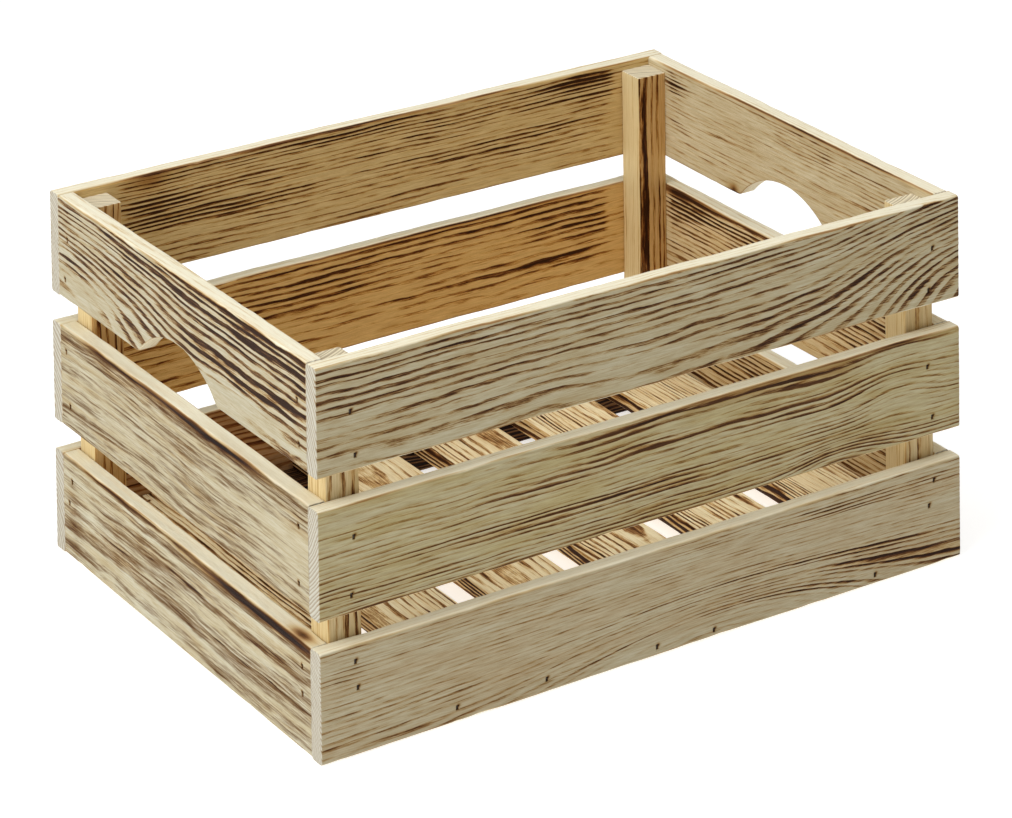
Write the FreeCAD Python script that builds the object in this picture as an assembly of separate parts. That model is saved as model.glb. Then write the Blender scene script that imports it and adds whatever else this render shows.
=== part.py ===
import FreeCAD, Part
import math
import os

# Slatted softwood crate: three tiers of slats nailed round four corner posts, over a slatted floor.
# Frame: +X along the crate, +Y from front to back, +Z up. The origin is the centre of the
# footprint, on the ground. All lengths are in millimetres.

# Overall size and slats
LENGTH = 500.0
WIDTH = 360.0
SLAT_HEIGHT = 70.0
SLAT_GAP = 20.0
TIERS = ("bottom", "middle", "top")
LONG_SLAT_THICKNESS = 12.0  # front and back slats, which run the full length
END_SLAT_THICKNESS = 13.0  # left and right slats, which fit between the long ones
SLAT_EDGE_RADIUS = 2.0

# Corner posts
POST_X = 24.0
POST_Y = 22.0
POST_BELOW_RIM = 6.0
POST_EDGE_RADIUS = 1.0

# Floor: boards across two battens, flush with the lower edge of the bottom slats
BATTEN_WIDTH = 29.0
BATTEN_HEIGHT = 14.0
BATTEN_EDGE_RADIUS = 1.0
BOARD_COUNT = 6
BOARD_WIDTH = 60.0
BOARD_THICKNESS = 11.0
BOARD_EDGE_RADIUS = 1.5
FLOOR_PLAY = 0.5  # gap left at the ends of the boards and battens, and beside the outer boards

# Hand-hold in the lower edge of each top end slat: an arc with rounded corners
HANDLE_WIDTH = 108.0
HANDLE_RISE = 24.0
HANDLE_CORNER_RADIUS = 8.0

# Wire brads with a T head, driven a little below the surface
HEAD_LONG = 2.9
HEAD_SHORT = 1.6
HEAD_THICKNESS = 1.2
SHANK_LONG = 1.6
SHANK_SHORT = 1.4
POINT_LENGTH = 2.4
HEAD_SINK = 0.9
WALL_BRAD_LENGTH = 30.0
FLOOR_BRAD_LENGTH = 21.0
HOLE_CLEARANCE = 0.05
CUT_MARGIN = 1.0  # how far cutting shapes run past the surface they start from

# Brads are driven by eye, so each is off its mark, by up to these distances along and across
# the slat. The offsets follow two sine waves, stepped and started at these angles (radians).
BRAD_DRIFT_ALONG = 2.5
BRAD_DRIFT_ACROSS = 0.6
DRIFT_STEPS = (2.4, 5.1)
DRIFT_STARTS = (0.7, 1.9)
FIRST_DRIFT = {"front": 0, "back": 3, "left": 9, "right": 5}

# Heights of each slat's two brads above its lower edge. The end slats' brads miss the long
# slats' brads inside the posts, and no brad of the bottom tier is below the posts' feet.
LONG_SLAT_BRADS = {"bottom": (42.0, 59.0), "middle": (12.0, 48.0), "top": (10.0, 38.0)}
END_SLAT_BRADS = {"bottom": (37.0, 54.0), "middle": (16.5, 53.0), "top": (14.5, 43.0)}

# Brads through the long bottom slats into the floor battens, from the crate's left end
BATTEN_BRAD_PLACES = (98.0, 165.0, 250.0, 295.0, 427.0)
BOARD_BRAD_SPACING = 30.0  # between a board's two brads in one batten
BOARD_BRAD_STAGGER = 7.0  # the same two brads are this far apart across the batten

X = FreeCAD.Vector(1, 0, 0)
Y = FreeCAD.Vector(0, 1, 0)
Z = FreeCAD.Vector(0, 0, 1)

# Derived places
HEIGHT = len(TIERS) * SLAT_HEIGHT + (len(TIERS) - 1) * SLAT_GAP
FLOOR_TOP = BATTEN_HEIGHT + BOARD_THICKNESS
POST_TOP = HEIGHT - POST_BELOW_RIM
INNER_X = LENGTH / 2 - END_SLAT_THICKNESS
INNER_Y = WIDTH / 2 - LONG_SLAT_THICKNESS
POST_CENTRE_X = INNER_X - POST_X / 2
POST_CENTRE_Y = INNER_Y - POST_Y / 2
BATTEN_CENTRE_Y = INNER_Y - BATTEN_WIDTH / 2
SIDE_SIGNS = {"front": -1, "back": 1, "left": -1, "right": 1}


def tier_base(tier):
    """Height of the lower edge of a tier's slats."""
    return TIERS.index(tier) * (SLAT_HEIGHT + SLAT_GAP)


def bar(low, high, grain, radius):
    """A plank between two corners, with the four edges along its grain rounded."""
    size = high - low
    solid = Part.makeBox(size.x, size.y, size.z, low)
    long_edges = [
        edge
        for edge in solid.Edges
        if abs(edge.tangentAt(edge.FirstParameter).dot(grain)) > 0.99
    ]
    return solid.makeFillet(radius, long_edges)


def centred_box(centre, reach_a, reach_b, a, b, depth, direction):
    """A box that starts on centre's plane and runs along direction, centred across it."""
    corners = [
        centre + a * sign_a * reach_a + b * sign_b * reach_b
        for sign_a, sign_b in ((-1, -1), (1, -1), (1, 1), (-1, 1))
    ]
    outline = Part.makePolygon(corners + corners[:1])
    return Part.Face(outline).extrude(direction * depth)


def point_wedge(base, a, b, direction):
    """The chisel point of a brad: its two wide faces close to an edge along a."""
    half_a = a * (SHANK_LONG / 2)
    half_b = b * (SHANK_SHORT / 2)
    tip = base + direction * POINT_LENGTH
    side = Part.makePolygon(
        [base - half_a - half_b, base - half_a + half_b, tip - half_a, base - half_a - half_b]
    )
    return Part.Face(side).extrude(a * SHANK_LONG)


def brad(entry, direction, a, length):
    """One brad driven at entry on a surface, with the long side of its head along a."""
    b = direction.cross(a)
    head_top = entry + direction * HEAD_SINK
    shank_start = head_top + direction * HEAD_THICKNESS
    shank_length = length - HEAD_THICKNESS - POINT_LENGTH
    head = centred_box(
        head_top, HEAD_LONG / 2, HEAD_SHORT / 2, a, b, HEAD_THICKNESS, direction
    )
    shank = centred_box(
        shank_start, SHANK_LONG / 2, SHANK_SHORT / 2, a, b, shank_length, direction
    )
    point = point_wedge(shank_start + direction * shank_length, a, b, direction)
    return head.fuse([shank, point]).removeSplitter()


def brad_hole(entry, direction, a, length):
    """The space one brad needs. Its head bears on the floor of the pocket."""
    b = direction.cross(a)
    grow = HOLE_CLEARANCE
    pocket_start = entry - direction * CUT_MARGIN
    pocket_depth = CUT_MARGIN + HEAD_SINK + HEAD_THICKNESS
    pocket = centred_box(
        pocket_start, HEAD_LONG / 2 + grow, HEAD_SHORT / 2 + grow, a, b, pocket_depth, direction
    )
    hole_depth = CUT_MARGIN + HEAD_SINK + length + grow
    hole = centred_box(
        pocket_start, SHANK_LONG / 2 + grow, SHANK_SHORT / 2 + grow, a, b, hole_depth, direction
    )
    return pocket.fuse(hole)


def drift(number):
    """Two repeatable offsets between -1 and 1 for the brad with this number."""
    return [math.sin(step * number + start) for step, start in zip(DRIFT_STEPS, DRIFT_STARTS)]


def long_slat_brad_marks(side):
    """Where the front or back slats are nailed to the posts."""
    sign = SIDE_SIGNS[side]
    marks = []
    for tier in TIERS:
        for end in (-1, 1):
            for height in LONG_SLAT_BRADS[tier]:
                along, across = drift(len(marks) + FIRST_DRIFT[side])
                x = end * POST_CENTRE_X + along * BRAD_DRIFT_ALONG
                z = tier_base(tier) + height + across * BRAD_DRIFT_ACROSS
                entry = FreeCAD.Vector(x, sign * WIDTH / 2, z)
                marks.append((entry, Y * -sign, Z, WALL_BRAD_LENGTH))
    return marks


def end_slat_brad_marks(side):
    """Where the left or right slats are nailed to the posts."""
    sign = SIDE_SIGNS[side]
    marks = []
    for tier in TIERS:
        for end in (-1, 1):
            for height in END_SLAT_BRADS[tier]:
                along, across = drift(len(marks) + FIRST_DRIFT[side])
                y = end * POST_CENTRE_Y + along * BRAD_DRIFT_ALONG
                z = tier_base(tier) + height + across * BRAD_DRIFT_ACROSS
                entry = FreeCAD.Vector(sign * LENGTH / 2, y, z)
                marks.append((entry, X * -sign, Z, WALL_BRAD_LENGTH))
    return marks


def batten_brad_marks(side):
    """Where a long bottom slat is nailed to the floor batten behind it."""
    sign = SIDE_SIGNS[side]
    marks = []
    for number, place in enumerate(BATTEN_BRAD_PLACES):
        x = place - LENGTH / 2 if sign < 0 else LENGTH / 2 - place
        z = BATTEN_HEIGHT / 2 + drift(number)[1] * BRAD_DRIFT_ALONG
        entry = FreeCAD.Vector(x, sign * WIDTH / 2, z)
        marks.append((entry, Y * -sign, Z, WALL_BRAD_LENGTH))
    return marks


def board_centres():
    """X of each floor board's centre line: the outer boards meet the end slats."""
    outer = INNER_X - FLOOR_PLAY - BOARD_WIDTH / 2
    pitch = 2 * outer / (BOARD_COUNT - 1)
    return [-outer + number * pitch for number in range(BOARD_COUNT)]


def board_brad_marks(centre):
    """Where one floor board is nailed down to the two battens."""
    marks = []
    for end in (-1, 1):
        for side in (-1, 1):
            x = centre + side * BOARD_BRAD_SPACING / 2
            y = end * BATTEN_CENTRE_Y + side * BOARD_BRAD_STAGGER / 2
            marks.append((FreeCAD.Vector(x, y, FLOOR_TOP), -Z, X, FLOOR_BRAD_LENGTH))
    return marks


def handle_cutter(thickness_start, thickness_end):
    """The hand-hold as a solid along X, with its rounded corners on the plane z = 0."""
    radius = (HANDLE_WIDTH**2 / 4 + HANDLE_RISE**2) / (2 * HANDLE_RISE)
    corner = HANDLE_CORNER_RADIUS
    arc_centre_z = HANDLE_RISE - radius
    corner_y = math.sqrt((radius + corner) ** 2 - (corner - arc_centre_z) ** 2)
    touch = radius / (radius + corner)
    touch_y = corner_y * touch
    touch_z = arc_centre_z + (corner - arc_centre_z) * touch
    turn = math.atan2(corner_y - touch_y, corner - touch_z)
    middle_y = corner_y - corner * math.sin(turn / 2)
    middle_z = corner - corner * math.cos(turn / 2)

    def at(y, z):
        return FreeCAD.Vector(thickness_start, y, z)

    outline = Part.Wire(
        [
            Part.makeLine(at(-corner_y, -CUT_MARGIN), at(-corner_y, 0)),
            Part.Arc(at(-corner_y, 0), at(-middle_y, middle_z), at(-touch_y, touch_z)).toShape(),
            Part.Arc(at(-touch_y, touch_z), at(0, HANDLE_RISE), at(touch_y, touch_z)).toShape(),
            Part.Arc(at(touch_y, touch_z), at(middle_y, middle_z), at(corner_y, 0)).toShape(),
            Part.makeLine(at(corner_y, 0), at(corner_y, -CUT_MARGIN)),
            Part.makeLine(at(corner_y, -CUT_MARGIN), at(-corner_y, -CUT_MARGIN)),
        ]
    )
    return Part.Face(outline).extrude(X * (thickness_end - thickness_start))


def drilled(solid, marks):
    """The solid with the holes of those brads that reach it."""
    reach = solid.BoundBox
    holes = []
    for mark in marks:
        hole = brad_hole(*mark)
        if hole.BoundBox.intersect(reach):
            holes.append(hole)
    return solid.cut(holes) if holes else solid


def long_slat(side, tier, marks):
    """A front or back slat."""
    sign = SIDE_SIGNS[side]
    base = tier_base(tier)
    outer = sign * WIDTH / 2
    inner = sign * INNER_Y
    low = FreeCAD.Vector(-LENGTH / 2, min(outer, inner), base)
    high = FreeCAD.Vector(LENGTH / 2, max(outer, inner), base + SLAT_HEIGHT)
    return drilled(bar(low, high, X, SLAT_EDGE_RADIUS), marks)


def end_slat(side, tier, marks):
    """A left or right slat. The top one has the hand-hold in its lower edge."""
    sign = SIDE_SIGNS[side]
    base = tier_base(tier)
    outer = sign * LENGTH / 2
    inner = sign * INNER_X
    low = FreeCAD.Vector(min(outer, inner), -INNER_Y, base)
    high = FreeCAD.Vector(max(outer, inner), INNER_Y, base + SLAT_HEIGHT)
    slat = bar(low, high, Y, SLAT_EDGE_RADIUS)
    if tier == "top":
        cutter = handle_cutter(low.x - CUT_MARGIN, high.x + CUT_MARGIN)
        cutter.translate(Z * base)
        slat = slat.cut(cutter)
    return drilled(slat, marks)


def corner_post(sign_x, sign_y, marks):
    """A post that stands on the floor boards, in the corner between the slats."""
    xs = sorted((sign_x * INNER_X, sign_x * (INNER_X - POST_X)))
    ys = sorted((sign_y * INNER_Y, sign_y * (INNER_Y - POST_Y)))
    low = FreeCAD.Vector(xs[0], ys[0], FLOOR_TOP)
    high = FreeCAD.Vector(xs[1], ys[1], POST_TOP)
    return drilled(bar(low, high, Z, POST_EDGE_RADIUS), marks)


def floor_batten(side, marks):
    """A batten along the inside of a long bottom slat."""
    centre_y = SIDE_SIGNS[side] * BATTEN_CENTRE_Y
    reach_x = INNER_X - FLOOR_PLAY
    low = FreeCAD.Vector(-reach_x, centre_y - BATTEN_WIDTH / 2, 0)
    high = FreeCAD.Vector(reach_x, centre_y + BATTEN_WIDTH / 2, BATTEN_HEIGHT)
    return drilled(bar(low, high, X, BATTEN_EDGE_RADIUS), marks)


def floor_board(centre, marks):
    """A board across both battens."""
    reach_y = INNER_Y - FLOOR_PLAY
    low = FreeCAD.Vector(centre - BOARD_WIDTH / 2, -reach_y, BATTEN_HEIGHT)
    high = FreeCAD.Vector(centre + BOARD_WIDTH / 2, reach_y, FLOOR_TOP)
    return drilled(bar(low, high, Y, BOARD_EDGE_RADIUS), marks)


def build():
    """Every sub-part by node name."""
    slat_marks = {side: long_slat_brad_marks(side) for side in ("front", "back")}
    slat_marks.update({side: end_slat_brad_marks(side) for side in ("left", "right")})
    batten_marks = {side: batten_brad_marks(side) for side in ("front", "back")}
    board_marks = [board_brad_marks(centre) for centre in board_centres()]
    all_board_marks = [mark for marks in board_marks for mark in marks]
    all_slat_marks = [mark for marks in slat_marks.values() for mark in marks]

    nodes = {}
    for tier in TIERS:
        for side in ("front", "back"):
            marks = slat_marks[side] + batten_marks[side]
            nodes[f"{side}_slat_{tier}"] = long_slat(side, tier, marks)
        for side in ("left", "right"):
            nodes[f"{side}_slat_{tier}"] = end_slat(side, tier, slat_marks[side])
    for side_y, sign_y in (("front", -1), ("back", 1)):
        for side_x, sign_x in (("left", -1), ("right", 1)):
            name = f"corner_post_{side_y}_{side_x}"
            nodes[name] = corner_post(sign_x, sign_y, all_slat_marks)
        marks = batten_marks[side_y] + all_board_marks
        nodes[f"floor_batten_{side_y}"] = floor_batten(side_y, marks)
    for number, centre in enumerate(board_centres()):
        nodes[f"floor_board_{number + 1}"] = floor_board(centre, board_marks[number])

    brad_groups = {f"{side}_slat_nails": marks for side, marks in slat_marks.items()}
    brad_groups.update({f"{side}_batten_nails": marks for side, marks in batten_marks.items()})
    brad_groups["floor_board_nails"] = all_board_marks
    for name, marks in brad_groups.items():
        nodes[name] = Part.makeCompound([brad(*mark) for mark in marks])
    return nodes


def main():
    os.makedirs("parts", exist_ok=True)
    for name, shape in build().items():
        shape.exportStep(f"parts/{name}.step")
        print(f"{name}: {len(shape.Solids)} solid(s), {shape.Volume / 1000:.1f} cm3")


main()
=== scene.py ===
"""Looks of the wooden apple crate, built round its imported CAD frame.

Every board is rebuilt as a fine mesh with rounded edges, small dents and real nail pockets. Each
vertex carries where it lies in the wood: along the grain, in the growth rings, and how far the
flame scorched it. One node graph turns that into scorched pine. The brads keep their CAD shapes
and get a steel material.

Lengths on a board are in millimetres. On a board, u runs along the grain, v across it and w from
the inner to the outer face.
"""
import math
from dataclasses import dataclass, field

import bpy
import numpy as np
from mathutils import Matrix, Vector


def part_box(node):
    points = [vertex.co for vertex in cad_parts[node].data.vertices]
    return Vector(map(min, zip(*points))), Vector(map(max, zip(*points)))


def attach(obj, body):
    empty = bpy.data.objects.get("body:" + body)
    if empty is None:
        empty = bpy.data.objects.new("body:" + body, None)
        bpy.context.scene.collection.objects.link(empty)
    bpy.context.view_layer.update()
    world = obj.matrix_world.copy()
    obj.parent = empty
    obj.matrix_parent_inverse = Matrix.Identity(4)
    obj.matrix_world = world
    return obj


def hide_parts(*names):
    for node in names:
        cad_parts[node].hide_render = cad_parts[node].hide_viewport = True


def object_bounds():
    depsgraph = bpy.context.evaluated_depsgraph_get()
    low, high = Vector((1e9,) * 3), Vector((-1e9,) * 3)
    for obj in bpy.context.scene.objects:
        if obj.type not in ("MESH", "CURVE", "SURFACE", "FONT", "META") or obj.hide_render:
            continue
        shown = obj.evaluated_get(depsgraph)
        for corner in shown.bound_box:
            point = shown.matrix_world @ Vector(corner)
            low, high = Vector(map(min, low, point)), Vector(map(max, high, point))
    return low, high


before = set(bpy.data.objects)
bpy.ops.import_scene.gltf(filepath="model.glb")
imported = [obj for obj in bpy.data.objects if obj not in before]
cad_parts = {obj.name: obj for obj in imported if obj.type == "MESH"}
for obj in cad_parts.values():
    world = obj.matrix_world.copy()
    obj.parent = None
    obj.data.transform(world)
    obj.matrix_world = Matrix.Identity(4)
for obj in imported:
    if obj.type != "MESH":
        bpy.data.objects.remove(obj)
cad_low, cad_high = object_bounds()

MM = 0.001

# Steps of a board's mesh
STEP_ALONG = 6.0
STEP_ACROSS = 1.4
STEP_DEEP = 1.96
ARCH_STEP = 2.5
ROUNDING_LINES = (0.42, 0.73, 1.0)  # shares of an edge's radius
END_LINES = (0.2, 0.55, 1.0)  # the same at the sawn ends
KEEP_CLEAR = 0.4  # an even grid line this near to a fine one, in steps, is left out

# Radii of the boards' long edges, and of their sawn ends
SLAT_RADIUS = 2.0
POST_RADIUS = 1.0
BATTEN_RADIUS = 1.0
FLOOR_BOARD_RADIUS = 1.5
END_RADIUS = 0.6

# Hand-hold: an arch cut up into the lower edge of the top end slats
ARCH_WIDTH = 108.0
ARCH_RISE = 24.0
ARCH_CORNER = 8.0
ARCH_EDGE_RADIUS = 0.7

# Brad pockets
POCKET_DEPTH = 1.3
POCKET_WALL = 0.25
POCKET_LIP = 0.3
POCKET_LIP_REACH = 0.9
POCKET_LINES = (POCKET_WALL, 0.8, 1.6, 2.8)  # distances of the grid lines round a pocket
POCKET_CLEARANCE = 0.06

# Wear
EDGE_SWAY = 0.25
EDGE_ROUGHNESS = 0.06
RING_RELIEF = 0.07
FIBRE_RELIEF = 0.05
SAW_ROUGHNESS = 0.12
SAW_TILT = 0.25
NICK_SPACING = 45.0
NICK_REACH = (2.5, 9.0)
NICK_DEPTH = (0.1, 0.55)

# Scorch
MOTTLING = 0.10
SHIELD_FADE = 10.0
SHIELD_RAGGEDNESS = 3.0
FLAT = 0.9  # a point whose normal passes this lies on a flat face


# -------------------------------------------------------------------------- shapes in numbers
def smooth(low, high, x):
    """0 below low, 1 above high, and an even S-curve between."""
    t = np.clip((x - low) / (high - low), 0.0, 1.0)
    return t * t * (3.0 - 2.0 * t)


def ripple(seed, *coordinates):
    """Seeded smooth noise, mostly between -1 and 1: sine waves in random directions."""
    random = np.random.default_rng(seed)
    waves = 7
    spread = 0.6  # makes the ripples about 1 unit long
    total = 0.0
    for _ in range(waves):
        angle = random.uniform(0.0, 2.0 * math.pi)
        for coordinate in coordinates:
            angle = angle + random.normal() * 2.0 * math.pi * spread * coordinate
        total = total + np.sin(angle)
    return total / math.sqrt(waves)


def blobs(u, v, places):
    """The sum of soft spots, each given as (u, v, reach along, reach across, amount)."""
    total = np.zeros_like(u)
    for place_u, place_v, reach_u, reach_v, amount in places:
        off_u = (u - place_u) / reach_u
        off_v = (v - place_v) / reach_v
        total += amount * np.exp(-off_u ** 2 - off_v ** 2)
    return total


def veins(points, rings, facing, places):
    """The sum of soft streaks that follow a growth ring through a spot on a face.

    Each is given as (u, v, reach along, reach in rings, amount).
    """
    u, v, _ = points.T
    total = np.zeros_like(u)
    for place_u, place_v, reach_u, reach_rings, amount in places:
        distance = np.hypot(u - place_u, v - place_v)
        distance[facing < FLAT] = np.inf
        ring = rings[np.argmin(distance)]
        off_u = (u - place_u) / reach_u
        off_ring = (rings - ring) / reach_rings
        total += amount * np.exp(-off_ring ** 2 - off_u ** 2)
    return total


def arch_height(x):
    """Height of the hand-hold's cut above the slat's lower edge, at x from its centre."""
    radius = (ARCH_WIDTH ** 2 / 4 + ARCH_RISE ** 2) / (2 * ARCH_RISE)
    drop = radius - ARCH_RISE
    corner_x = math.sqrt((radius + ARCH_CORNER) ** 2 - (drop + ARCH_CORNER) ** 2)
    meeting_x = corner_x * radius / (radius + ARCH_CORNER)
    x = np.abs(x)
    crown = np.sqrt(np.maximum(radius ** 2 - x ** 2, 0.0)) - drop
    foot = ARCH_CORNER - np.sqrt(np.maximum(ARCH_CORNER ** 2 - (x - corner_x) ** 2, 0.0))
    return np.where(x < meeting_x, crown, np.where(x < corner_x, foot, 0.0))


# -------------------------------------------------------------------------- what a board is like
@dataclass
class Grain:
    """Growth rings round a pith, given as (across, depth) from the board's inner lower edge.

    lean and taper shift the pith from end to end. swells are spots, as blobs takes them, where
    the rings bow.
    """
    pith: tuple = (-30.0, -110.0)
    ring: float = 2.0
    lean: float = 0.0
    taper: float = 0.0
    wave: float = 0.35
    swells: tuple = ()


@dataclass
class Scorch:
    """How far the flame darkened a board: 0 is bare wood, 1 is black between golden lines.

    outer, inner and edge are for the two faces and the narrow sides, and fringe is for the rounded
    edges between them. A rise makes a face's upper part darker than its lower part. Spots are as
    blobs takes them, and veins as veins does. The four kinds of soot are near-black spots on the
    outer face, the upper side, the lower side and the inner face. Those on the sides are placed by
    u and w. shield is the width at each end of the inner face that a post kept from the flame.
    """
    outer: float = 0.4
    outer_rise: float = 0.0
    outer_spots: tuple = ()
    outer_veins: tuple = ()
    inner: float = 0.4
    inner_rise: float = 0.1
    inner_spots: tuple = ()
    edge: float = 0.1
    fringe: float = 0.5
    soot: tuple = ()
    edge_soot: tuple = ()
    under_soot: tuple = ()
    inner_soot: tuple = ()
    shield: float = 26.0


@dataclass
class Tone:
    """A board's colours, and what its streaks are like.

    The faces drift between pale and deep, and go towards gold where they are toasted. bare is for
    planed sides and end for sawn ends. soft is how slowly a streak darkens. patchy, single, dashes
    and fuzz are how much the burn changes in bands, from ring to ring, in short dashes and from
    fibre to fibre. haze is the share of smoke in place of streaks, and toast_inside is how golden
    the inner face is.
    """
    pale: tuple = (0.57, 0.52, 0.37)
    deep: tuple = (0.53, 0.45, 0.29)
    gold: tuple = (0.66, 0.47, 0.21)
    bare: tuple = (0.89, 0.84, 0.665)
    end: tuple = (0.58, 0.55, 0.455)
    soft: float = 0.65
    patchy: float = 0.40
    single: float = 0.40
    dashes: float = 0.45
    fuzz: float = 0.6
    haze: float = 0.0
    toast_inside: float = 0.6


@dataclass
class Board:
    """One board, measured from its CAD node."""
    node: str
    grain_axis: str
    outward: str
    radius: float
    slot: str
    grain: Grain = field(default_factory=Grain)
    scorch: Scorch = field(default_factory=Scorch)
    tone: Tone = field(default_factory=Tone)
    arch: bool = False
    nails: tuple = ()
    seed: int = 0

    def __post_init__(self):
        low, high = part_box(self.node)
        self.low = np.array(low) / MM
        self.high = np.array(high) / MM
        self.along = "XYZ".index(self.grain_axis)
        self.depth = "XYZ".index(self.outward[1])
        self.across = 3 - self.along - self.depth
        self.size = (self.high - self.low)[[self.along, self.across, self.depth]]

    def to_world(self, points):
        """Board coordinates to scene coordinates in metres."""
        world = np.empty_like(points)
        world[:, self.along] = self.low[self.along] + points[:, 0]
        world[:, self.across] = self.low[self.across] + points[:, 1]
        if self.outward[0] == "+":
            world[:, self.depth] = self.low[self.depth] + points[:, 2]
        else:
            world[:, self.depth] = self.high[self.depth] - points[:, 2]
        return world * MM

    def to_board(self, point):
        """(u, v) of a scene point given in metres."""
        point = np.array(point) / MM
        u = point[self.along] - self.low[self.along]
        v = point[self.across] - self.low[self.across]
        return u, v

    def mirrored(self):
        """True if the board's own axes are a mirror image of the scene's."""
        axes = np.zeros((3, 3))
        axes[0, self.along] = 1
        axes[1, self.across] = 1
        axes[2, self.depth] = 1 if self.outward[0] == "+" else -1
        return np.linalg.det(axes) < 0


# -------------------------------------------------------------------------- board meshes
def grid_lines(length, step, fine):
    """Even grid lines from 0 to length, giving way to the fine ones."""
    fine = np.array(sorted(x for x in fine if 0.0 < x < length))
    kept = [0.0, length]
    for x in np.linspace(0.0, length, round(length / step) + 1)[1:-1]:
        if not fine.size or np.abs(fine - x).min() > KEEP_CLEAR * step:
            kept.append(x)
    return np.unique(np.round(np.concatenate([kept, fine]), 3))


def both_ends(distances, length):
    """Places at these distances from either end of a length."""
    return distances + [length - x for x in distances]


def board_lines(board):
    """The three sets of grid lines of a board's mesh."""
    length, width, thickness = board.size
    rounding = [share * board.radius for share in ROUNDING_LINES]
    along = both_ends([share * END_RADIUS for share in END_LINES], length)
    across = both_ends(rounding, width)
    for nail_u, nail_v, half_u, half_v in board.nails:
        for reach in (0.0, 0.5, 1.0):
            along += [nail_u - reach * half_u, nail_u + reach * half_u]
            across += [nail_v - reach * half_v, nail_v + reach * half_v]
        for beyond in POCKET_LINES:
            along += [nail_u - half_u - beyond, nail_u + half_u + beyond]
            across += [nail_v - half_v - beyond, nail_v + half_v + beyond]
    if board.arch:
        reach = ARCH_WIDTH / 2 + ARCH_CORNER
        along += list(np.arange(length / 2 - reach, length / 2 + reach, ARCH_STEP))
    return (
        grid_lines(length, STEP_ALONG, along),
        grid_lines(width, STEP_ACROSS, across),
        grid_lines(thickness, STEP_DEEP, both_ends(rounding, thickness)),
    )


def box_skin(us, vs, ws):
    """Points and quads of a box's skin, cut by the given grid lines."""
    shape = (len(us), len(vs), len(ws))
    index = np.arange(math.prod(shape)).reshape(shape)
    sheets = (
        index[0][::-1],
        index[-1],
        index[:, 0],
        index[:, -1][::-1],
        index[:, :, 0][::-1],
        index[:, :, -1],
    )
    quads = []
    for sheet in sheets:
        corners = (sheet[:-1, :-1], sheet[1:, :-1], sheet[1:, 1:], sheet[:-1, 1:])
        quads.append(np.stack(corners, -1).reshape(-1, 4))
    used, quads = np.unique(np.concatenate(quads), return_inverse=True)
    i, j, k = np.unravel_index(used, shape)
    return np.stack([us[i], vs[j], ws[k]], 1), quads.reshape(-1, 4)


def round_long_edges(board, points):
    """Rounds the four long edges.

    Gives the points, and how far each one faces across and outward.
    """
    length, width, thickness = board.size
    u, v, w = points.T
    radius = np.full(len(u), board.radius)
    if board.arch:
        cut = (arch_height(u - length / 2) > 0.5) & (v < width / 2)
        radius[cut] = ARCH_EDGE_RADIUS
    core_v = np.clip(v, radius, width - radius)
    core_w = np.clip(w, radius, thickness - radius)
    dv, dw = v - core_v, w - core_w
    reach = np.maximum(np.hypot(dv, dw), 1e-9)
    spread = np.maximum(np.abs(dv), np.abs(dw))
    rounded = np.stack([u, core_v + dv / reach * spread, core_w + dw / reach * spread], 1)
    return rounded, dv / reach, dw / reach


def round_ends(board, points):
    """Draws the section in a little towards both sawn ends."""
    size = board.size
    x = np.minimum(points[:, 0], size[0] - points[:, 0])
    left = np.clip(END_RADIUS - x, 0.0, END_RADIUS)
    inset = END_RADIUS - np.sqrt(END_RADIUS ** 2 - left ** 2)
    for axis in (1, 2):
        middle = size[axis] / 2
        shrink = 1.0 - 2.0 * inset / size[axis]
        points[:, axis] = middle + (points[:, axis] - middle) * shrink
    return points


def cut_arch(board, points):
    """Squeezes the slat upward over the hand-hold, so that its lower edge follows the arch."""
    height = arch_height(points[:, 0] - board.size[0] / 2)
    points[:, 1] = height + points[:, 1] * (1.0 - height / board.size[1])
    return points


def ring_numbers(board, points):
    """The growth ring that each point lies in, as a smooth number."""
    grain, length = board.grain, board.size[0]
    u, v, w = points.T
    pith_v = grain.pith[0] + grain.lean * (u / length - 0.5)
    pith_w = grain.pith[1] + grain.taper * (u / length - 0.5)
    rings = np.hypot(v - pith_v, w - pith_w) / grain.ring
    rings += grain.wave * ripple(board.seed, u / 130, v / 60, w / 60)
    rings += 0.35 * grain.wave * ripple(board.seed + 1, u / 45, v / 22, w / 22)
    return rings + blobs(u, v, grain.swells)


def nail_pockets(board, u, v):
    """Depth of the brad pockets, and height of the torn lips round them, on the outer face."""
    depth, lip = np.zeros_like(u), np.zeros_like(u)
    for nail_u, nail_v, half_u, half_v in board.nails:
        du, dv = u - nail_u, v - nail_v
        outside = np.maximum(np.abs(du) - half_u, np.abs(dv) - half_v)
        depth = np.maximum(depth, 1.0 - smooth(0.0, POCKET_WALL, outside))
        rim = smooth(0.0, POCKET_WALL, outside)
        rim *= 1.0 - smooth(POCKET_WALL, POCKET_LIP_REACH, outside)
        lip = np.maximum(lip, rim * np.where(du - 0.5 * dv > 0, 1.0, 0.3))
    return POCKET_DEPTH * depth, POCKET_LIP * lip


def edge_nicks(board, u, corner):
    """Small dents along one long edge: how deep each point is pressed in."""
    random = np.random.default_rng(board.seed * 7 + corner)
    depth = np.zeros_like(u)
    for _ in range(int(board.size[0] / NICK_SPACING)):
        place = random.uniform(0.0, board.size[0])
        reach = random.uniform(*NICK_REACH)
        depth += random.uniform(*NICK_DEPTH) * np.exp(-((u - place) / reach) ** 2)
    return depth


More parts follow.
